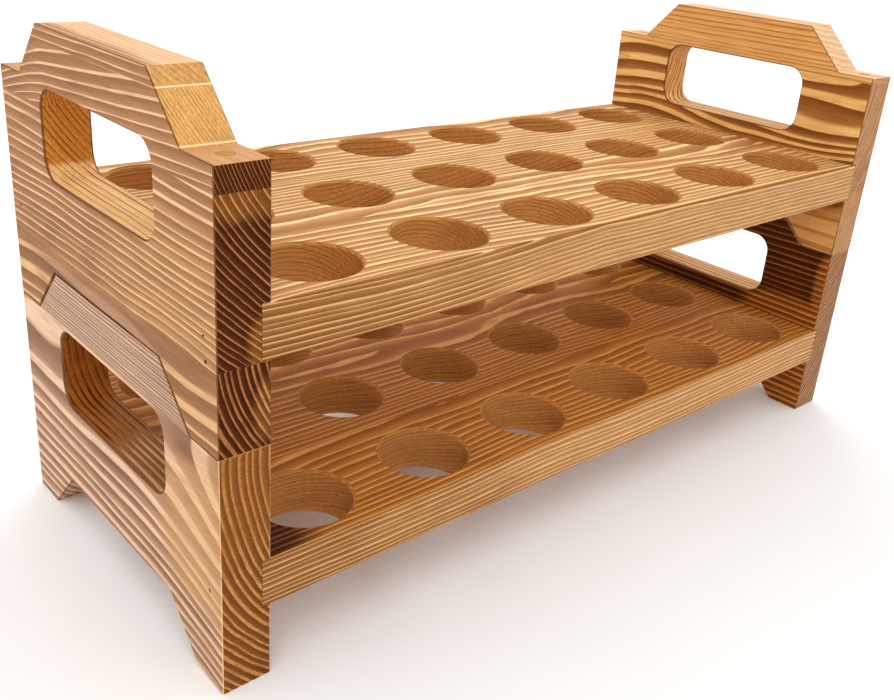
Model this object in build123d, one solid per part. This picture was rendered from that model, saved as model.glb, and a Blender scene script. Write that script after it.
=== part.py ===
"""Two stacked wooden egg trays.

Each tray is a shelf with three rows of six round egg seats, let into shallow grooves in two
end boards. An end board has a raised handle with a hand slot, and a notch between its feet
that drops over the handle of the tray below. The boards are glued up from narrow staves, so
every stave is a piece of its own.

X runs along the length, Y from front (-Y) to back, and Z up from the surface that the lower
tray stands on. The origin is the middle of that footprint. All sizes are in millimetres.
"""
from build123d import *
import os

# ---- Driving dimensions: the tray -------------------------------------------------------
tray_length = 400.0        # over the outer faces of the end boards
tray_depth = 168.0         # front edge to back edge
board_thickness = 19.5     # planed end boards
shoulder_height = 97.0     # foot to shoulder, which is also the step from tray to tray

# ---- Handle, hand slot and stacking notch -----------------------------------------------
handle_rise = 21.0         # handle top above the shoulders
handle_top_width = 88.0
handle_base_width = 129.0
grip_height = 23.0         # wood above the hand slot
sill_above_shelf = 9.5     # wood between the shelf's top and the hand slot
slot_width = 90.0
slot_corner_radius = 9.0
stack_side_gap = 1.2       # notch to handle, each side
stack_top_gap = 0.5        # notch roof above the handle below

# ---- Shelf and its grooves --------------------------------------------------------------
shelf_thickness = 20.0
shelf_underside = 31.0     # height of the shelf's underside above the feet
groove_depth = 3.5         # how far the shelf is let into each end board
groove_end_gap = 0.2       # shelf end to groove bottom
groove_top_gap = 0.2       # shelf top to groove wall

# ---- Egg seats --------------------------------------------------------------------------
seat_columns = 6
seat_rows = 3
seat_diameter = 38.0
seat_end_margin = 30.5     # first seat's centre from the end board's inner face
seat_front_margin = 25.0   # first row's centre from the front edge
seat_rim_chamfer = 1.0

# ---- Eased edges ------------------------------------------------------------------------
board_edge_radius = 0.5
slot_edge_radius = 1.0
shelf_edge_radius = 1.0

# ---- Brads and dowels -------------------------------------------------------------------
brad_diameter = 1.4
brad_length = 30.0
brad_set_depth = 1.0       # head below the board's face
brad_edge_distance = 8.0   # brad from the board's front or back edge
dowel_diameter = 6.0
dowel_length = 30.0

# ---- Glue lines -------------------------------------------------------------------------
# Each end board is cut from a glued panel, so its glue lines fall where they fall. The low
# ones are measured up from the feet, and the ones by the handle from the shoulders.
lower_right_handle_line = 38.0      # above the feet
upper_left_middle_line = 31.0       # above the feet
upper_right_middle_line = 35.0      # above the feet
upper_left_handle_drop = 9.0        # below the shoulders
upper_right_handle_drop = 3.0       # below the shoulders
upper_left_crest_rise = 15.0        # above the shoulders

# Every stave is named with the height of its lower edge above the feet.
END_STAVES = {
    ("lower", "left"): [("main_stave", 0.0), ("handle_stave", shoulder_height)],
    ("lower", "right"): [("foot_stave", 0.0), ("handle_stave", lower_right_handle_line)],
    ("upper", "left"): [
        ("foot_stave", 0.0),
        ("middle_stave", upper_left_middle_line),
        ("handle_stave", shoulder_height - upper_left_handle_drop),
        ("crest_stave", shoulder_height + upper_left_crest_rise),
    ],
    ("upper", "right"): [
        ("foot_stave", 0.0),
        ("middle_stave", upper_right_middle_line),
        ("handle_stave", shoulder_height - upper_right_handle_drop),
    ],
}
# The end boards whose handle stave reaches the shoulders have a dowel through each shoulder.
DOWELLED_ENDS = [("upper", "left"), ("upper", "right")]

# ---- Sizes that follow ------------------------------------------------------------------
board_height = shoulder_height + handle_rise
notch_depth = handle_rise + stack_top_gap
shelf_top = shelf_underside + shelf_thickness
slot_sill = shelf_top + sill_above_shelf
slot_height = board_height - grip_height - slot_sill
inner_length = tray_length - 2 * board_thickness
shelf_length = inner_length + 2 * (groove_depth - groove_end_gap)
seat_pitch_x = (inner_length - 2 * seat_end_margin) / (seat_columns - 1)
seat_pitch_y = (tray_depth - 2 * seat_front_margin) / (seat_rows - 1)
brad_y = tray_depth / 2 - brad_edge_distance
brad_z = shelf_underside + shelf_thickness / 2
dowel_y = (tray_depth + handle_base_width) / 4
oversize = 10.0            # how far a cutter runs past what it cuts


def slab(low, high, axis):
    """A big block that keeps only what lies between two heights along one axis."""
    reach = 4 * max(tray_length, tray_depth, board_height)
    size = {"Y": (reach, high - low, reach), "Z": (reach, reach, high - low)}[axis]
    middle = (low + high) / 2
    place = {"Y": Pos(0, middle, 0), "Z": Pos(0, 0, middle)}[axis]
    return place * Box(*size)


def board_outline():
    """The end board's face: feet and notch below, shoulders and handle above."""
    base, top = handle_base_width / 2, handle_top_width / 2
    half = [
        (top + stack_side_gap, notch_depth),
        (base + stack_side_gap, 0),
        (tray_depth / 2, 0),
        (tray_depth / 2, shoulder_height),
        (base, shoulder_height),
        (top, board_height),
    ]
    other_half = [(-y, z) for y, z in reversed(half)]
    return Polygon(*half, *other_half, align=None)


def hand_slot():
    """The rounded slot through an end board, as a cutter that starts at its outer face."""
    face = RectangleRounded(slot_width, slot_height, slot_corner_radius)
    middle = Plane.YZ.offset(-oversize) * Pos(0, slot_sill + slot_height / 2)
    return extrude(middle * face, amount=board_thickness + 2 * oversize)


def shelf_groove():
    """The groove across the inner face that the shelf's end sits in."""
    height = shelf_thickness + groove_top_gap
    low_corner = Pos(board_thickness - groove_depth, -tray_depth, shelf_underside)
    size = (groove_depth + oversize, 2 * tray_depth, height)
    return low_corner * Box(*size, align=(Align.MIN, Align.MIN, Align.MIN))


def brads_at_origin(length, start):
    """The two brads of one end board, or their holes, running inward along X."""
    from_base = (Align.CENTER, Align.CENTER, Align.MIN)
    brad = Rot(0, 90, 0) * Cylinder(brad_diameter / 2, length, align=from_base)
    return [Pos(start, side * brad_y, brad_z) * brad for side in (-1, 1)]


def dowels_at_origin():
    """The two dowels of one end board, standing in its shoulders."""
    from_top = (Align.CENTER, Align.CENTER, Align.MAX)
    dowel = Cylinder(dowel_diameter / 2, dowel_length, align=from_top)
    return [Pos(board_thickness / 2, side * dowel_y, shoulder_height) * dowel for side in (-1, 1)]


def end_board(dowelled):
    """A whole end board with its outer face on x = 0, before it is divided into staves."""
    board = extrude(Plane.YZ * board_outline(), amount=board_thickness)
    board = fillet(board.edges(), board_edge_radius)
    board -= hand_slot()
    rims = board.faces().filter_by(Axis.X).edges().filter_by(slot_rim)
    board = fillet(rims, slot_edge_radius)
    board -= shelf_groove()
    for hole in brads_at_origin(brad_set_depth + brad_length, 0):
        board -= hole
    if dowelled:
        for hole in dowels_at_origin():
            board -= hole
    return board


def slot_rim(edge):
    """True for the edges where the hand slot meets a face of the board."""
    middle = edge.center()
    in_width = abs(middle.Y) < slot_width / 2 + board_edge_radius / 2
    above_middle = abs(middle.Z - slot_sill - slot_height / 2)
    in_height = above_middle < slot_height / 2 + board_edge_radius / 2
    return in_width and in_height


def seat_places():
    """The centre of every egg seat, as (x, y)."""
    columns = [(column - (seat_columns - 1) / 2) * seat_pitch_x for column in range(seat_columns)]
    rows = [(row - (seat_rows - 1) / 2) * seat_pitch_y for row in range(seat_rows)]
    return [(x, y) for y in rows for x in columns]


def shelf():
    """The whole shelf with its egg seats and brad holes, before it is divided into staves."""
    panel = Pos(0, 0, brad_z) * Box(shelf_length, tray_depth, shelf_thickness)
    long_edges = panel.edges().filter_by(Axis.X)
    panel = fillet(long_edges, shelf_edge_radius)
    for x, y in seat_places():
        panel -= Pos(x, y, brad_z) * Cylinder(seat_diameter / 2, shelf_thickness + 2 * oversize)
    circles = panel.edges().filter_by(GeomType.CIRCLE)
    rims = circles.filter_by(lambda edge: edge.radius > 2 * shelf_edge_radius)
    panel = chamfer(rims, seat_rim_chamfer)
    for hole in brads_at_origin(brad_set_depth + brad_length, 0):
        panel -= Pos(-tray_length / 2, 0, 0) * hole
        panel -= mirror(Pos(-tray_length / 2, 0, 0) * hole, about=Plane.YZ)
    return panel


def divide(whole, names_and_starts, top, axis):
    """Cut a glued-up board along its glue lines, and give each stave its name."""
    starts = [start for _, start in names_and_starts] + [top]
    staves = {}
    for index, (name, start) in enumerate(names_and_starts):
        staves[name] = whole & slab(start, starts[index + 1], axis)
    return staves


def shelf_staves():
    """The shelf's three staves: one row of seats each, glued between the rows."""
    half = tray_depth / 2
    first_line = seat_pitch_y / 2
    starts = [("front_stave", -half), ("middle_stave", -first_line), ("back_stave", first_line)]
    return divide(shelf(), starts, half, "Y")


def end_pieces(tier, side):
    """Every piece of one end of a tray, by name, each as a list of its solids."""
    dowelled = (tier, side) in DOWELLED_ENDS
    staves = divide(end_board(dowelled), END_STAVES[tier, side], board_height, "Z")
    pieces = {f"end_{name}": [stave] for name, stave in staves.items()}
    pieces["end_brads"] = brads_at_origin(brad_length, brad_set_depth)
    if dowelled:
        pieces["shoulder_dowels"] = dowels_at_origin()
    return pieces


def tray(tier, base):
    """Every piece of one tray, by name, standing at the height base."""
    pieces = {f"{tier}_shelf_{name}": [stave] for name, stave in shelf_staves().items()}
    for side in ("left", "right"):
        for name, solids in end_pieces(tier, side).items():
            solids = [Pos(-tray_length / 2, 0, 0) * solid for solid in solids]
            if side == "right":
                solids = [mirror(solid, about=Plane.YZ) for solid in solids]
            pieces[f"{tier}_{side}_{name}"] = solids
    return {
        name: group([Pos(0, 0, base) * solid for solid in solids])
        for name, solids in pieces.items()
    }


def group(solids):
    """One solid as it is, or several separate solids as one compound."""
    return solids[0] if len(solids) == 1 else Compound(children=solids)


def main():
    os.makedirs("parts", exist_ok=True)
    pieces = {**tray("lower", 0), **tray("upper", shoulder_height)}
    for name, piece in pieces.items():
        export_step(piece, f"parts/{name}.step")
        volume = sum(solid.volume for solid in piece.solids())
        print(f"{name:36s} {volume / 1000:9.2f} cm3")


main()
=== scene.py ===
# %% [markdown]
# # Two stacked wooden egg trays
#
# The object is a pair of kitchen trays made of softwood. Each tray is a shelf with three rows
# of six round egg seats, let into two end boards with raised handles. The boards are glued up
# from narrow staves, then scorched with a torch, brushed and given a thin clear coat. The
# shapes already exist as solid parts, so this lesson is about the wood: how one recipe for
# growth rings can give a flat face, an edge and an end their right figure, all at once.
#
# The first step loads those parts. They come in metres, with X along the length, Y from the
# front to the back and Z up from the surface that the lower tray stands on.

# %% Load the parts
import math

import bpy
from mathutils import Matrix, Vector


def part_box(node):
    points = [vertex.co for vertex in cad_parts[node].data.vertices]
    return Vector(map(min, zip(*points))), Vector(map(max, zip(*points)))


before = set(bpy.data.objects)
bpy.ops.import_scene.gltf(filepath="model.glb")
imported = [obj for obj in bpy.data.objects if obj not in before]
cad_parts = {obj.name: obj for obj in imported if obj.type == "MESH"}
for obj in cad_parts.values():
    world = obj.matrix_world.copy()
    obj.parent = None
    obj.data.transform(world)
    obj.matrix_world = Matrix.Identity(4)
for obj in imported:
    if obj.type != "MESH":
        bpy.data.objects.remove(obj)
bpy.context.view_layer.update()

# %% [markdown]
# ## A short way to write node trees
#
# A procedural material is a tree of nodes. Making each one takes several lines of Python, and
# these materials need many, so a few small helpers come first. `add` makes any node, sets it
# and wires its inputs. `calc` is one Math node, `blend` mixes two colours, and `ease` turns
# one range of values smoothly into another. `paint` lets colours be written as on a paint
# chart, because Blender counts light in even steps and a chart doesn't.

# %% Helpers for node trees
MM = 0.001  # one millimetre in Blender's metres


def add(tree, kind, inputs=None, **settings):
    """Make one node, and give each input either another node's socket or a plain value."""
    made = tree.nodes.new(kind)
    for name, value in settings.items():
        setattr(made, name, value)
    for place, value in (inputs or {}).items():
        if isinstance(value, bpy.types.NodeSocket):
            tree.links.new(value, made.inputs[place])
        else:
            made.inputs[place].default_value = value
    return made


def calc(tree, operation, *values, clamp=False):
    """One step of arithmetic, as a Math node."""
    inputs = dict(enumerate(values))
    return add(tree, "ShaderNodeMath", inputs, operation=operation, use_clamp=clamp).outputs[0]


def blend(tree, amount, first, second, how="MIX"):
    """A Mix Color node: how much of the second colour goes over the first."""
    inputs = {0: amount, 6: first, 7: second}
    return add(tree, "ShaderNodeMix", inputs, data_type="RGBA", blend_type=how).outputs[2]


def ease(tree, value, low, high, start=0.0, end=1.0):
    """Turn a value smoothly from start to end as it goes from low to high."""
    inputs = {0: value, 1: low, 2: high, 3: start, 4: end}
    made = add(tree, "ShaderNodeMapRange", inputs, interpolation_type="SMOOTHSTEP")
    return made.outputs[0]


def paint(red, green, blue):
    """A colour as it is named on a paint chart, 0 to 255, in Blender's linear numbers."""
    linear = [((c / 255 + 0.055) / 1.055) ** 2.4 if c > 10 else c / 255 / 12.92
              for c in (red, green, blue)]
    return (*linear, 1.0)


print("a scorched brown in linear numbers:", [round(c, 3) for c in paint(120, 78, 55)])

# %% [markdown]
# ## Noise that follows the grain
#
# A board is a slice of a trunk, and the trunk is a stack of cones that are almost cylinders.
# A cut along the trunk shows long lines, a cut across it shows arcs, and a cut that grazes the
# rings shows wide wavy figure. Painting each face alone would never make these meet at the
# edges. So the pattern is worked out in space, for a point that is given in millimetres as
# across, up and along the grain.
#
# Nothing in wood is quite regular, so noise comes first. Wood changes slowly along the grain
# and quickly across it, because its fibres are long, and the cells of this noise are long and
# narrow in the same way. A seed gives each stave another piece of the same noise.

# %% Noise that follows the grain
SLOW = dict(across=45, along=110, detail=1.0, shift=3.1)   # makes the rings wander
QUICK = dict(across=7, along=26, detail=2.0, shift=7.7)    # makes them a little rough
FIBRE = dict(across=0.8, along=14, detail=3.0, shift=1.3)  # fine streaks
SMOKE = dict(across=22, along=60, detail=2.0, shift=5.5)   # clouds that the torch left


def grain_noise(tree, point, seed, across, along, detail, shift):
    """Noise whose cells are across by along millimetres, as a colour and a value."""
    size = (1 / across, 1 / across, 1 / along)
    place = add(tree, "ShaderNodeVectorMath", {0: point, 1: size}, operation="MULTIPLY")
    inputs = {"Vector": place.outputs[0], "W": calc(tree, "ADD", seed, shift),
              "Scale": 1.0, "Detail": detail, "Roughness": 0.5}
    return add(tree, "ShaderNodeTexNoise", inputs, noise_dimensions="4D").outputs


print("the finest noise is", FIBRE["across"], "mm wide and", FIBRE["along"], "mm long")

# %% [markdown]
# ## Counting the rings from the heart
#
# For every point, how far is it from the heart of the tree? The heart is a line beside the
# stave that may lean and bend, and the slow noise makes the rings wander about it. Divided by
# the width of a ring, the distance counts the rings. Some years are fatter than others, so
# the count is pushed back and forth a little as it grows.

# %% The count of rings


def rings_from_heart(tree, given, slow, quick):
    """How many rings there are between the heart of the tree and a point."""
    axis = add(tree, "ShaderNodeSeparateXYZ", {0: given["Point"]}).outputs
    slow = add(tree, "ShaderNodeSeparateXYZ", {0: slow}).outputs

    def from_heart(side, heart, lean, extra):
        """How far a point is from the heart, along one of the two axes across the grain."""
        away = calc(tree, "SUBTRACT", axis[side], given[heart])
        away = calc(tree, "SUBTRACT", away, calc(tree, "MULTIPLY", axis[2], given[lean]))
        slide = calc(tree, "MULTIPLY", calc(tree, "SUBTRACT", slow[side], 0.5), given["Wander"])
        return calc(tree, "ADD", calc(tree, "ADD", away, slide), extra)

    bent = calc(tree, "DIVIDE", calc(tree, "SUBTRACT", axis[2], given["Bend start"]),
                calc(tree, "SUBTRACT", given["Bend end"], given["Bend start"]), clamp=True)
    bent = calc(tree, "MULTIPLY", calc(tree, "POWER", bent, 1.6), given["Bend"])
    jitter = calc(tree, "MULTIPLY", calc(tree, "SUBTRACT", quick, 0.5),
                  calc(tree, "MULTIPLY", given["Ring width"], 0.55))
    across = from_heart(0, "Heart across", "Lean across", bent)
    up = from_heart(1, "Heart up", "Lean up", jitter)
    reach = calc(tree, "SQRT", calc(tree, "ADD", calc(tree, "MULTIPLY", across, across),
                                    calc(tree, "MULTIPLY", up, up)))
    rings = calc(tree, "DIVIDE", reach, given["Ring width"])
    fat_years = add(tree, "ShaderNodeTexNoise",
                    {"W": calc(tree, "ADD", calc(tree, "MULTIPLY", rings, 0.31), given["Seed"]),
                     "Scale": 1.0, "Detail": 1.0}, noise_dimensions="1D").outputs["Fac"]
    return calc(tree, "ADD", rings, fat_years)


print("72 mm from the heart, rings 2.4 mm wide have counted to", round(72 / 2.4))

# %% [markdown]
# ## Growth rings, the heart of the recipe
#
# A node group packs a recipe into one node, so that every stave's material can use it. The
# whole part of the count tells which year a point belongs to, and the rest of it how far
# through that year it is. A year begins with soft early wood, which the torch browns most. It
# grows paler, and ends in a thin line of hard late wood, worn thin in places. The group gives
# that line, the shade within a year, a tone for each year, the fibre and the clouds of smoke.

# %% The growth ring group
GIVEN = ("Heart across", "Heart up", "Ring width", "Lean across", "Lean up", "Bend",
         "Bend start", "Bend end", "Wander", "Line share", "Seed")


def growth_ring_group():
    """A node group that tells how the wood is at a point of the trunk."""
    tree = bpy.data.node_groups.new("growth_rings", "ShaderNodeTree")
    tree.interface.new_socket("Point", in_out="INPUT", socket_type="NodeSocketVector")
    for name in GIVEN:
        tree.interface.new_socket(name, in_out="INPUT", socket_type="NodeSocketFloat")
    given = tree.nodes.new("NodeGroupInput").outputs
    slow, quick, fibre, smoke = [grain_noise(tree, given["Point"], given["Seed"], **settings)
                                 for settings in (SLOW, QUICK, FIBRE, SMOKE)]

    rings = rings_from_heart(tree, given, slow["Color"], quick["Fac"])
    year = calc(tree, "FLOOR", rings)
    within = calc(tree, "SUBTRACT", rings, year)
    tone = add(tree, "ShaderNodeTexWhiteNoise", {"W": calc(tree, "ADD", year, given["Seed"])},
               noise_dimensions="1D").outputs["Value"]
    share = calc(tree, "MULTIPLY", given["Line share"],
                 calc(tree, "ADD", 0.7, calc(tree, "MULTIPLY", tone, 0.6)))
    starts = calc(tree, "SUBTRACT", 1.0, share)
    softly = calc(tree, "SUBTRACT", starts, calc(tree, "MULTIPLY", share, 0.5))
    rise = ease(tree, within, softly, starts)
    fall = ease(tree, within, 0.96, 1.0, start=1.0, end=0.0)
    worn = ease(tree, quick["Fac"], 0.32, 0.56, start=0.55, end=1.0)

    shown = {"Line": calc(tree, "MULTIPLY", calc(tree, "MULTIPLY", rise, fall), worn),
             "Shade": calc(tree, "SUBTRACT", 1.0, ease(tree, within, 0.0, 0.8)),
             "Tone": tone, "Fibre": fibre["Fac"], "Smoke": smoke["Fac"]}
    for name in shown:
        tree.interface.new_socket(name, in_out="OUTPUT", socket_type="NodeSocketFloat")
    result = tree.nodes.new("NodeGroupOutput").inputs
    for name, socket in shown.items():
        tree.links.new(socket, result[name])
    return tree


RINGS = growth_ring_group()
print("growth ring group:", len(RINGS.nodes), "nodes")

# %% [markdown]
# ## Scorched and brushed softwood
#
# A torch browns the soft early wood more than the hard late wood, and a wire brush then takes
# a little of the soft wood away. What is left is a brown board with pale raised lines. The
# ends of the boards soak up heat, so they are darkest. The tops and the insides of the slots
# are sanded again and look golden, with dark lines.
#
# Three colours are enough for each of these: the wood between the lines, its darkest part
# towards one side of each ring, and the lines themselves. They are kept in small dictionaries
# with plain names, so that the same growth rings can be shown in any of them.

# %% The finishes


def finish(body, deep, line):
    """One finish: the wood between the lines, its darkest part, and the lines."""
    return {"body": paint(*body), "deep": paint(*deep), "line": paint(*line)}


# Torched wood is brown, and its lines are paler.
TAN = finish((174, 124, 84), (148, 100, 64), (228, 184, 142))
SAND = finish((190, 142, 96), (154, 106, 64), (230, 184, 132))
BAND = finish((164, 114, 76), (140, 94, 60), (218, 170, 116))
SOOT = finish((148, 104, 74), (132, 90, 62), (172, 126, 90))
PINK = finish((192, 150, 118), (140, 100, 74), (226, 188, 154))
FAWN = finish((198, 152, 108), (180, 134, 92), (220, 176, 130))
ROSE = finish((178, 142, 114), (146, 110, 86), (210, 174, 146))
CHAR = finish((84, 38, 8), (52, 18, 0), (164, 102, 54))
TOAST = finish((136, 80, 32), (110, 60, 20), (190, 132, 74))
HONEY = finish((162, 110, 60), (126, 78, 36), (212, 160, 106))
WHEAT = finish((200, 150, 98), (166, 114, 66), (230, 182, 126))
STRAW = finish((210, 156, 96), (166, 108, 54), (244, 206, 148))
TOFFEE = finish((192, 122, 50), (146, 84, 26), (216, 152, 76))
UMBER = finish((88, 40, 12), (50, 18, 2), (136, 76, 34))
RUSSET = finish((156, 88, 30), (108, 52, 10), (198, 128, 58))
WAVE = finish((184, 122, 60), (124, 70, 26), (230, 180, 108))
NUT = finish((152, 102, 66), (118, 76, 44), (192, 142, 98))
HAZEL = finish((144, 86, 36), (116, 64, 24), (176, 118, 60))
COCOA = finish((158, 106, 62), (130, 82, 44), (206, 156, 106))
# Lightly torched wood is golden, and its lines are only a little paler.
HUSK = finish((204, 152, 98), (188, 134, 80), (222, 174, 116))
BISCUIT = finish((230, 184, 138), (220, 170, 122), (242, 206, 164))
MOTTLE = finish((208, 154, 92), (192, 136, 76), (220, 170, 108))
# Sanded wood is golden too, and its lines are darker.
TREACLE = finish((178, 108, 40), (152, 86, 26), (82, 34, 6))
CARAMEL = finish((170, 98, 36), (148, 80, 26), (112, 56, 14))
GOLD = finish((224, 172, 108), (212, 156, 88), (168, 108, 48))
AMBER = finish((208, 138, 62), (186, 116, 44), (122, 66, 14))
SILL = finish((234, 190, 132), (224, 174, 110), (152, 90, 34))
BLUSH = finish((198, 150, 104), (176, 126, 82), (150, 100, 60))
APRICOT = finish((222, 166, 100), (212, 152, 84), (178, 116, 56))
COPPER = finish((206, 140, 72), (180, 112, 48), (140, 78, 26))
OILED = finish((196, 136, 76), (186, 124, 64), (160, 104, 50))
# Eased edges are narrow, so their finishes are nearly plain.
DARK_EDGE = finish((122, 78, 44), (108, 66, 36), (134, 88, 52))
PALE_EDGE = finish((226, 180, 128), (218, 170, 116), (232, 190, 140))
BURNT = paint(110, 66, 42)
print("the finishes run from", [round(c, 3) for c in CHAR["deep"]], "to", BISCUIT["line"][0])

# %% [markdown]
# ## Where one finish ends and the next begins
#
# One stave shows several finishes: its face, its end, its sanded top. Splitting the mesh by
# hand would work, but the material can decide for itself, because each surface knows where it
# is and which way it faces. A mask is a value that is 1 where a finish lies and 0 elsewhere.
# `near` and `all_of` make sharp masks and put them together. `in_patch` makes a soft ragged
# one, for a place where the torch lingered or hardly went.

# %% Rings in a finish, and masks
FACES_X, FACES_Y, FACES_Z = 0, 1, 2  # the axis that a surface looks along


def ringed_colour(tree, growth, colours):
    """The colour of one kind of surface: its body between the lines, and the lines."""
    body = blend(tree, growth["Shade"], colours["body"], colours["deep"])
    body = blend(tree, calc(tree, "MULTIPLY", growth["Tone"], 0.4), body, colours["deep"])
    return blend(tree, growth["Line"], body, colours["line"])


def near(tree, value, middle, reach):
    """1 where a value is nearer to the middle than reach, and 0 elsewhere."""
    away = calc(tree, "ABSOLUTE", calc(tree, "SUBTRACT", value, middle))
    return calc(tree, "LESS_THAN", away, reach)


def all_of(tree, *masks):
    """The masks multiplied together."""
    total = masks[0]
    for mask in masks[1:]:
        total = calc(tree, "MULTIPLY", total, mask)
    return total


def in_patch(tree, point, facing, smoke, side, centre, reach):
    """A soft, ragged egg-shaped patch on the surfaces that face along one axis."""
    steps = [calc(tree, "DIVIDE", calc(tree, "SUBTRACT", point[i], centre[i]), reach[i])
             for i in range(3)]
    offset = add(tree, "ShaderNodeCombineXYZ", dict(enumerate(steps))).outputs[0]
    away = add(tree, "ShaderNodeVectorMath", {0: offset}, operation="LENGTH").outputs["Value"]
    away = calc(tree, "ADD", away, calc(tree, "SUBTRACT", smoke, 0.5))
    towards = ease(tree, calc(tree, "ABSOLUTE", facing[side]), 0.85, 0.97)
    return all_of(tree, towards, ease(tree, away, 0.6, 1.2, start=1.0, end=0.0))


print("a finish holds", ", ".join(TAN), "and a patch faces X, Y or Z:", FACES_X, FACES_Y, FACES_Z)

# %% [markdown]
# ## The material of one stave
#
# Now the pieces come together. The material takes the place of each point, turns it so that
# the grain runs the right way, and asks the group about its rings. It lays the finishes over
# each other with their masks, darkens the smoky clouds, speckles the fibre, and adds the marks
# last. The lines also feed the bump, because the late wood stands a little proud. Wood under
# a thin coat has only a faint, warm shine, so the shine is set low on the shader itself.

# %% The scorched wood material
ALONG_Y, ALONG_X, ALONG_Z = (0, 2, 1), (1, 2, 0), (0, 1, 2)  # across, up and along the grain


def scorched_wood(name, axes, middle, rings, zones, patches=(), smoke=0.5, marks=()):
    """The wood of one stave. zones(tree, point, facing) gives (mask, finish) pairs, of which
    later ones lie over earlier ones. Patches are (side, centre, reach, finish), and marks are
    (mask maker, colour), laid over everything else."""
    made = bpy.data.materials.new(name)
    made.use_nodes = True
    tree = made.node_tree
    tree.nodes.clear()
    place = add(tree, "ShaderNodeTexCoord").outputs
    metres = add(tree, "ShaderNodeSeparateXYZ", {0: place["Object"]}).outputs
    point = [calc(tree, "MULTIPLY", metres[side], 1 / MM) for side in range(3)]
    turned = add(tree, "ShaderNodeCombineXYZ", {
        side: calc(tree, "SUBTRACT", point[axes[side]], middle[side])
        for side in range(3)}).outputs[0]
    facing = add(tree, "ShaderNodeSeparateXYZ", {0: place["Normal"]}).outputs
    growth = add(tree, "ShaderNodeGroup", node_tree=RINGS)
    tree.links.new(turned, growth.inputs["Point"])
    for socket, value in rings.items():
        growth.inputs[socket].default_value = value
    growth = growth.outputs

    (_, lowest), *laid_over = zones(tree, point, facing)
    laid_over += [(in_patch(tree, point, facing, growth["Smoke"], side, centre, reach), colours)
                  for side, centre, reach, colours in patches]
    colour = ringed_colour(tree, growth, lowest)
    for mask, colours in laid_over:
        colour = blend(tree, mask, colour, ringed_colour(tree, growth, colours))

    smoky = ease(tree, growth["Smoke"], 0.5, 0.8, start=0.0, end=smoke)
    kept = calc(tree, "SUBTRACT", 1.0, calc(tree, "MULTIPLY", growth["Line"], 0.7))
    colour = blend(tree, calc(tree, "MULTIPLY", smoky, kept), colour, BURNT, "MULTIPLY")
    across_grain = calc(tree, "ABSOLUTE", facing[axes[2]])
    depth = calc(tree, "MULTIPLY_ADD", across_grain, 0.4, 0.7)
    speck = calc(tree, "MULTIPLY_ADD", calc(tree, "SUBTRACT", growth["Fibre"], 0.5), depth, 1.0)
    grey = add(tree, "ShaderNodeCombineXYZ", {0: speck, 1: speck, 2: speck}).outputs[0]
    colour = blend(tree, 1.0, colour, grey, "MULTIPLY")
    for mask_maker, tint in marks:
        colour = blend(tree, mask_maker(tree, point, facing), colour, tint)

    relief = calc(tree, "MULTIPLY_ADD", growth["Fibre"], 0.35, growth["Line"])
    bump = add(tree, "ShaderNodeBump", {"Height": relief, "Distance": 0.2 * MM,
                                        "Strength": 0.6}).outputs[0]
    dull = ease(tree, growth["Line"], 0.0, 1.0, start=0.6, end=0.48)
    skin = add(tree, "ShaderNodeBsdfPrincipled", {
        "Base Color": colour, "Roughness": dull, "Normal": bump, "Specular IOR Level": 0.1,
        "Specular Tint": (1.0, 0.75, 0.5, 1.0), "Coat Weight": 0.02, "Coat Roughness": 0.3})
    add(tree, "ShaderNodeOutputMaterial", {"Surface": skin.outputs[0]})
    return made


def growth_of(heart, ring, seed, lean=(0, 0), bend=(0, 0, 1), wander=6.0, line=0.2):
    """A stave's rings, in the growth ring group's own names. Lengths are in millimetres."""
    return {"Heart across": heart[0], "Heart up": heart[1], "Ring width": ring, "Seed": seed,
            "Lean across": lean[0], "Lean up": lean[1], "Bend": bend[0], "Bend start": bend[1],
            "Bend end": bend[2], "Wander": wander, "Line share": line}


print("a stave's rings are set by:", ", ".join(growth_of((0, 50), 2.0, 1)))

# %% [markdown]
# ## The surfaces of an end board
#
# An end board has an outer and an inner face, level tops, sloping sides to its handle, ends
# that look to the front and the back, and a hand slot with a sill. Its eased edges are only
# half a millimetre wide, but lines that ran over them would look like dashes, so they get
# nearly plain finishes of their own. The list starts with the face, and each later mask lies
# over the ones before it.

# %% Zones of an end board
TRAY_STEP = 97.0  # the upper tray stands this far above the lower one
SLOT_MIDDLE, SLOT_HALF_HEIGHT, SLOT_HALF_WIDTH = 77.75, 19.0, 46.5  # with a little to spare
END_CORNER = 83.4  # the upright corners lie further out than this, front and back


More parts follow.
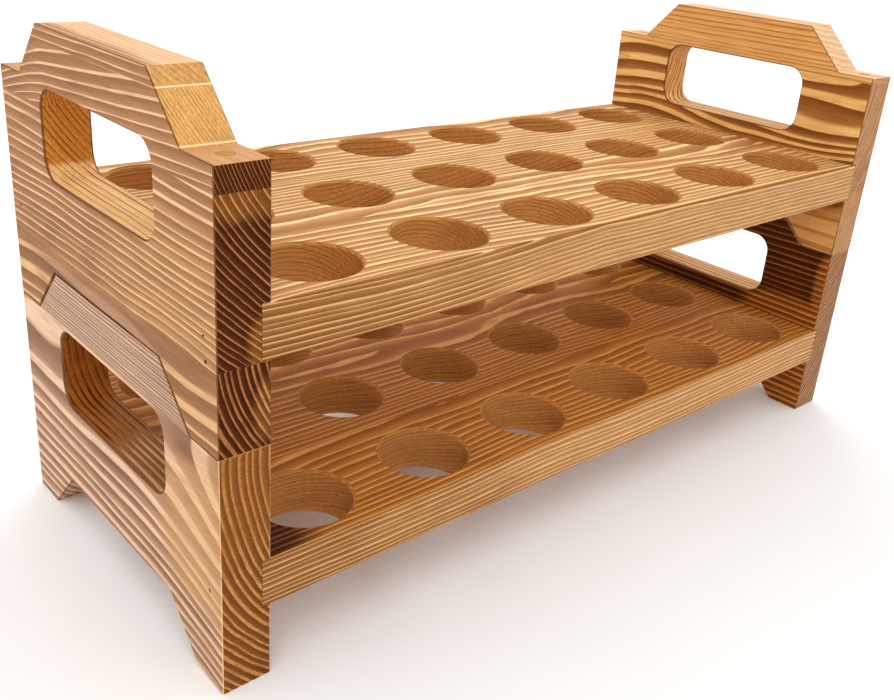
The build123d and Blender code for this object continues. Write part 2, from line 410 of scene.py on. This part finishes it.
def end_board_zones(node, face, inner_tone_and_painted_light, top, slope, end, slot, sill, arris, corner):
    """A zone function for one end board, from its nine finishes."""
    side = -1 if "_left_" in node else 1
    base = TRAY_STEP if node.startswith("upper") else 0.0

    def zones(tree, point, facing):
        sideways = calc(tree, "ABSOLUTE", facing[0])
        edgeways = ease(tree, sideways, 0.1, 0.3, start=1.0, end=0.0)
        inward = ease(tree, calc(tree, "MULTIPLY", facing[0], -side), 0.3, 0.7)
        upward = all_of(tree, edgeways, ease(tree, facing[2], 0.35, 0.6))
        endward = ease(tree, calc(tree, "ABSOLUTE", facing[1]), 0.74, 0.92)
        eased = all_of(tree, ease(tree, sideways, 0.1, 0.3),
                       ease(tree, sideways, 0.9, 0.97, start=1.0, end=0.0))
        in_slot = all_of(tree, edgeways, near(tree, point[1], 0.0, SLOT_HALF_WIDTH),
                         near(tree, point[2], base + SLOT_MIDDLE, SLOT_HALF_HEIGHT))
        at_end = calc(tree, "GREATER_THAN", calc(tree, "ABSOLUTE", point[1]), END_CORNER)
        sloping = all_of(tree, upward, calc(tree, "LESS_THAN", facing[2], 0.8))
        return [(None, face), (inward, inner_tone_and_painted_light), (upward, top), (sloping, slope),
                (endward, end), (in_slot, slot), (all_of(tree, in_slot, upward), sill),
                (eased, arris), (all_of(tree, eased, at_end), corner)]

    return zones


print("hand slots reach up to", TRAY_STEP + SLOT_MIDDLE + SLOT_HALF_HEIGHT, "mm")

# %% [markdown]
# ## Looks and small marks
#
# The two left ends share most of their finishes, and so do the two right ends, so a look is
# written once and only the differences are given for each stave. Two small marks break the
# rules: a thin unburnt line where a corner shielded the wood from the torch, and a tiny hole
# that a brad left behind. Both are drawn in the material, as they have hardly any depth.

# %% Looks and marks
# The inner faces of the end boards are warmer than the outer ones: partly less burnt wood, partly
# painted warm light reflected from the wood around them.
LEFT_LOOK = dict(face=TAN, inner_tone_and_painted_light=COPPER, top=GOLD, slope=GOLD, end=CHAR, slot=AMBER,
                 sill=SILL, arris=DARK_EDGE, corner=DARK_EDGE)
RIGHT_LOOK = dict(face=TAN, inner_tone_and_painted_light=APRICOT, top=BISCUIT, slope=BISCUIT, end=BLUSH, slot=GOLD,
                  sill=SILL, arris=DARK_EDGE, corner=DARK_EDGE)


def pale_line(height):
    """The thin unburnt line that a glued or inner corner leaves on the handle's slope."""
    def mask(tree, point, facing):
        slope = all_of(tree, near(tree, facing[2], 0.7, 0.25), near(tree, facing[0], 0.0, 0.5))
        return all_of(tree, slope, near(tree, point[2], height, 0.25))
    return mask, paint(248, 212, 154)


def old_hole(y, z):
    """A small hole where a brad was pulled out again."""
    def mask(tree, point, facing):
        dy, dz = calc(tree, "SUBTRACT", point[1], y), calc(tree, "SUBTRACT", point[2], z)
        away = calc(tree, "SQRT", calc(tree, "ADD", calc(tree, "MULTIPLY", dy, dy),
                                       calc(tree, "MULTIPLY", dz, dz)))
        return all_of(tree, calc(tree, "LESS_THAN", away, 0.75),
                      calc(tree, "LESS_THAN", facing[0], -0.9))
    return mask, paint(48, 24, 12)


print("a look names", len(LEFT_LOOK), "surfaces:", ", ".join(LEFT_LOOK))

# %% [markdown]
# ## The staves of the end boards
#
# Every stave came from another board, so each has its own heart, ring width and colour. A
# heart far out to one side gives upright rings on the end and broad figure on the face, as on
# the handle of the upper left board. A heart far above or below gives fine straight lines.
# Each entry holds the rings, the look, and the smoke, patches and marks of one stave. A patch
# is written as the axis it faces, its centre, its reach and its finish, in millimetres.

# %% Wood for the end boards
END_WOOD = {
    "upper_left_end_crest_stave": (
        growth_of((60, 60), 2.0, 11, lean=(-0.01, 0), wander=2.5, line=0.16),
        dict(LEFT_LOOK, top=BISCUIT, slope=MOTTLE),
        dict(smoke=0.2, marks=[pale_line(209.3)],
             patches=[(FACES_Z, (-202, 0, 215), (9, 70, 12), SAND)])),
    "upper_left_end_handle_stave": (
        growth_of((98, 38), 1.25, 4, lean=(-0.022, 0), bend=(4.0, 38, 90), wander=1.5,
                  line=0.16),
        dict(LEFT_LOOK, top=HUSK), dict(smoke=0.35, marks=[pale_line(194.5)])),
    "upper_left_end_middle_stave": (
        growth_of((100, 89), 2.25, 21, wander=5, line=0.17), LEFT_LOOK,
        dict(marks=[old_hole(-77.1, 129.6)],
             patches=[(FACES_X, (-200, -55, 138), (8, 60, 34), SAND),
                      (FACES_Y, (-188, -84, 183), (14, 4, 8), TOAST),
                      (FACES_Y, (-182, -84, 132), (7, 4, 12), TOAST)])),
    "upper_left_end_foot_stave": (
        growth_of((64, 24), 2.4, 33, wander=7, line=0.3), dict(LEFT_LOOK, face=BAND),
        dict(smoke=0.3, patches=[(FACES_X, (-200, 0, 121), (8, 90, 5), SOOT),
                                 (FACES_Y, (-182, -84, 112), (7, 4, 12), TOAST)])),
    "lower_left_end_handle_stave": (
        growth_of((20, -130), 1.5, 41, wander=3, line=0.3),
        dict(LEFT_LOOK, face=ROSE, top=TOAST), dict(smoke=0.2)),
    "lower_left_end_main_stave": (
        growth_of((90, 42), 2.9, 52, bend=(6, -10, -95), wander=5, line=0.28),
        dict(LEFT_LOOK, face=PINK, end=TOAST, slot=CARAMEL, sill=TREACLE, top=TOAST,
             corner=PALE_EDGE),
        dict(smoke=0.4, patches=[(FACES_X, (-200, -72, 60), (8, 34, 40), FAWN),
                                 (FACES_Y, (-190, -84, 82), (30, 4, 26), HAZEL),
                                 (FACES_Z, (-190, -28, 61), (18, 34, 8), COCOA)])),
    "upper_right_end_handle_stave": (
        growth_of((20, 150), 2.6, 61, wander=3, line=0.25), RIGHT_LOOK, dict(smoke=0.2)),
    "upper_right_end_middle_stave": (
        growth_of((-78, 32), 3.0, 72, wander=14, line=0.4), dict(RIGHT_LOOK, inner_tone_and_painted_light=WAVE), {}),
    "upper_right_end_foot_stave": (
        growth_of((-100, 20), 2.6, 83, wander=6, line=0.3), RIGHT_LOOK,
        # The russet patch is painted shade, on the inner face just under the upper shelf.
        dict(smoke=0.3, patches=[(FACES_X, (180, -70, 127), (8, 30, 7), RUSSET)])),
    # This stave's umber inner face is dark partly from its own darker wood and partly as painted
    # shade of the eggs in the lower tray; its russet patches near the front are lighter where
    # that painted shade thins.
    "lower_right_end_handle_stave": (
        growth_of((-70, 70), 2.6, 94, wander=4, line=0.25),
        dict(RIGHT_LOOK, inner_tone_and_painted_light=UMBER, end=NUT, top=TOAST),
        dict(smoke=0.3, patches=[(FACES_X, (180, -66, 56), (8, 30, 10), RUSSET),
                                 (FACES_X, (180, -84, 74), (8, 6, 26), RUSSET)])),
    "lower_right_end_foot_stave": (
        growth_of((-70, 50), 2.6, 99, wander=6, line=0.3),
        dict(RIGHT_LOOK, inner_tone_and_painted_light=RUSSET, end=NUT), dict(smoke=0.3)),
}


def give(node, material):
    """Put one material on a part, in place of what it came with."""
    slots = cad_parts[node].data.materials
    slots.clear()
    slots.append(material)


def middle_of(node, axes):
    """A part's middle in millimetres, as across, up and along the grain."""
    low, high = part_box(node)
    return [(low[a] + high[a]) / 2 / MM for a in axes]


for node, (rings, look, extras) in END_WOOD.items():
    zones = end_board_zones(node, **look)
    give(node, scorched_wood(node.replace("_stave", "_wood"), ALONG_Y,
                             middle_of(node, ALONG_Y), rings, zones, **extras))
print("end board staves:", len(END_WOOD))

# %% [markdown]
# ## The shelves
#
# The grain of a shelf runs along the tray. Its rings lie nearly flat, so the front edge has
# close lines and the top has long strokes that drift towards the back. The walls of the egg
# seats were never torched, so they keep the colour of oiled wood. The seats are cut straight
# through, and the pattern in space runs down their walls without any more work.

# %% Zones of a shelf
SHELF_EDGE = 82.0  # surfaces nearer to the middle than this are seat walls, not edges


def shelf_zones(edge, top, seat):
    """A zone function for one shelf stave, from its three finishes."""
    def zones(tree, point, facing):
        flat = ease(tree, calc(tree, "ABSOLUTE", facing[2]), 0.75, 0.9)
        upright = calc(tree, "SUBTRACT", 1.0, flat)
        in_seat = all_of(tree, upright, near(tree, point[1], 0.0, SHELF_EDGE))
        return [(None, edge), (flat, top), (in_seat, seat)]

    return zones


print("seat walls lie within", SHELF_EDGE, "mm of the middle")

# %% [markdown]
# ## Two shelves
#
# The upper shelf is paler than the lower one, whose top is darker and more orange: partly
# its own tone, partly painted warm light reflected from the wood around it. On both, the
# front edge grows lighter towards the right end as painted light, so one very long patch
# lies over it. The lower shelf is also darker in its front left corner.

# %% Wood for the shelves
SHELF_MIDDLE = {"upper": 138, "lower": 41}  # height in millimetres
# The lower shelf's toffee top is partly its own tone and partly painted warm light reflected from
# the wood around it.
SHELF_TOP = {"upper": STRAW, "lower": TOFFEE}
SHELF_WOOD = {
    "upper_shelf_front_stave": growth_of((55, -110), 1.75, 103, bend=(8, -150, -20), wander=5,
                                         line=0.22),
    "upper_shelf_middle_stave": growth_of((-40, -70), 2.0, 115, wander=8),
    "upper_shelf_back_stave": growth_of((30, 90), 2.1, 127, wander=8),
    "lower_shelf_front_stave": growth_of((40, 100), 1.8, 131, wander=6, line=0.22),
    "lower_shelf_middle_stave": growth_of((35, 70), 2.1, 143, wander=8),
    "lower_shelf_back_stave": growth_of((-40, -80), 2.2, 157, wander=8),
}
for node, rings in SHELF_WOOD.items():
    tray = node.split("_")[0]
    height = SHELF_MIDDLE[tray]
    # The long wheat patch on each front edge is painted light, growing lighter towards the right
    # end.
    patches = [(FACES_Y, (210, -84, height), (330, 8, 30), WHEAT)]
    if tray == "lower":
        # The umber patch makes the top of the lower shelf darker in its front left corner, beside
        # the end board.
        patches.append((FACES_Z, (-192, -70, height + 10), (42, 26, 4), UMBER))
    zones = shelf_zones(HONEY, SHELF_TOP[tray], OILED)
    give(node, scorched_wood(node.replace("_stave", "_wood"), ALONG_X, middle_of(node, ALONG_X),
                             rings, zones, patches, smoke=0.3))
print("shelf staves:", len(SHELF_WOOD))

# %% [markdown]
# ## Dowels
#
# A dowel is a short round rod that locks the glued joint under each shoulder of the upper
# tray. It was cut flush, so only its end shows, and its rings are cut across. A dark rim marks
# the glue around it. The rim is a mask too, by distance from the dowel's axis.

# %% Dowel end grain
PLUG = finish((204, 144, 74), (188, 126, 58), (164, 102, 42))
PLUG_RIM = finish((156, 100, 44), (142, 86, 34), (168, 112, 54))
DOWEL_ACROSS, DOWEL_ALONG = 190.25, 74.25  # from the middle of the trays to a dowel's axis
DOWEL_CORE = 2.4                           # the rim starts this far from the axis


def plug_zones(tree, point, facing):
    """Pale end grain with the dark rim of the glue line around it."""
    across = calc(tree, "SUBTRACT", calc(tree, "ABSOLUTE", point[0]), DOWEL_ACROSS)
    along = calc(tree, "SUBTRACT", calc(tree, "ABSOLUTE", point[1]), DOWEL_ALONG)
    out = calc(tree, "SQRT", calc(tree, "ADD", calc(tree, "MULTIPLY", across, across),
                                  calc(tree, "MULTIPLY", along, along)))
    return [(None, PLUG), (ease(tree, out, DOWEL_CORE, DOWEL_CORE + 0.5), PLUG_RIM)]


print("dowels stand", DOWEL_ALONG, "mm from the middle, front and back")

# %% [markdown]
# ## Brads
#
# The brads are thin steel pins that hold the shelves, set just below the face of the boards.
# Only their heads show, so dull steel with small darker spots is enough. Then the dowels and
# the brads get their materials together, as their parts' names tell which are which.

# %% Steel for the brads, and wood for the dowels


def brad_steel():
    """Dull steel with small darker spots."""
    made = bpy.data.materials.new("brad_steel")
    made.use_nodes = True
    tree = made.node_tree
    tree.nodes.clear()
    place = add(tree, "ShaderNodeTexCoord").outputs["Object"]
    spots = add(tree, "ShaderNodeTexNoise", {"Vector": place, "Scale": 2500.0}).outputs["Fac"]
    colour = blend(tree, spots, paint(70, 52, 42), paint(128, 118, 110))
    dull = ease(tree, spots, 0.3, 0.7, start=0.7, end=0.4)
    skin = add(tree, "ShaderNodeBsdfPrincipled", {
        "Base Color": colour, "Metallic": 0.8, "Roughness": dull})
    add(tree, "ShaderNodeOutputMaterial", {"Surface": skin.outputs[0]})
    return made


STEEL = brad_steel()
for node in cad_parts:
    if node.endswith("brads"):
        give(node, STEEL)
    elif node.endswith("dowels"):
        rings = growth_of((9, 4), 0.9, 171, wander=1, line=0.3)
        give(node, scorched_wood(node.replace("dowels", "dowel_wood"), ALONG_Z,
                                 middle_of(node, ALONG_Z), rings, plug_zones))
print("brads and dowels finished")

# %% [markdown]
# ## Floor and light
#
# Scorched wood shows best in an even studio light, without hard shadows. Most of it comes
# from a nearly white world. Three large lamps add a little direction: the key from the front
# left, a weak fill from the left, and one behind that lights the sanded tops. The pale floor
# carries on to the horizon. It isn't part of the trays.

# %% Floor and light
FLOOR_SIZE = 30.0
bpy.ops.mesh.primitive_plane_add(size=FLOOR_SIZE)
floor = bpy.context.object
floor.name = "floor"
pale = bpy.data.materials.new("pale_floor")
pale.use_nodes = True
floor_skin = pale.node_tree.nodes["Principled BSDF"].inputs
floor_skin["Base Color"].default_value = (0.94, 0.94, 0.94, 1)
floor_skin["Roughness"].default_value = 0.9
floor.data.materials.append(pale)

world = bpy.data.worlds.new("studio")
bpy.context.scene.world = world
world.use_nodes = True
sky = world.node_tree.nodes["Background"].inputs
sky["Color"].default_value = (1, 1, 1, 1)
sky["Strength"].default_value = 1.08


def soft_lamp(name, place, aim, size, power):
    """A square lamp, size in metres and power in watts, that shines towards aim."""
    lamp = bpy.data.lights.new(name, "AREA")
    lamp.size, lamp.energy = size, power
    made = bpy.data.objects.new(name, lamp)
    bpy.context.scene.collection.objects.link(made)
    made.location = place
    made.rotation_mode = "QUATERNION"
    made.rotation_quaternion = (made.location - aim).to_track_quat("Z", "Y")
    return made


MIDDLE = Vector((0, 0, 0.1))
soft_lamp("key_lamp", (-0.7, -0.9, 1.3), MIDDLE, 0.9, 4)
soft_lamp("fill_lamp", (-1.3, 0.2, 0.6), MIDDLE, 1.0, 1.5)
soft_lamp("back_lamp", (0.8, 0.9, 1.2), MIDDLE, 0.8, 5)

# %% [markdown]
# ## The camera
#
# The camera stands in front of the left end, a little above the trays, so near that the left
# end looms large and the right end is small. It is turned to the right, looks down, and leans
# a few degrees. A matrix for each of these turns, multiplied together, sets it in one go. The
# Standard view keeps the colours as they were mixed.

# %% Camera
CAMERA_PLACE = (-0.3361, -0.3319, 0.2714)
CAMERA_TURN, CAMERA_DROP, CAMERA_ROLL = 42.61, 23.15, 4.37  # degrees
camera = bpy.data.objects.new("camera", bpy.data.cameras.new("camera"))
bpy.context.scene.collection.objects.link(camera)
aim = (Matrix.Rotation(math.radians(-CAMERA_TURN), 4, "Z")
       @ Matrix.Rotation(math.radians(90 - CAMERA_DROP), 4, "X")
       @ Matrix.Rotation(math.radians(CAMERA_ROLL), 4, "Z"))
camera.matrix_world = Matrix.Translation(CAMERA_PLACE) @ aim
camera.data.lens = 40.54  # millimetres
camera.data.shift_x, camera.data.shift_y = 0.0050, -0.0400
camera.data.clip_start, camera.data.clip_end = 0.01, 100
bpy.context.scene.camera = camera
bpy.context.scene.view_settings.view_transform = "Standard"
print("camera at", [round(v, 3) for v in camera.location])
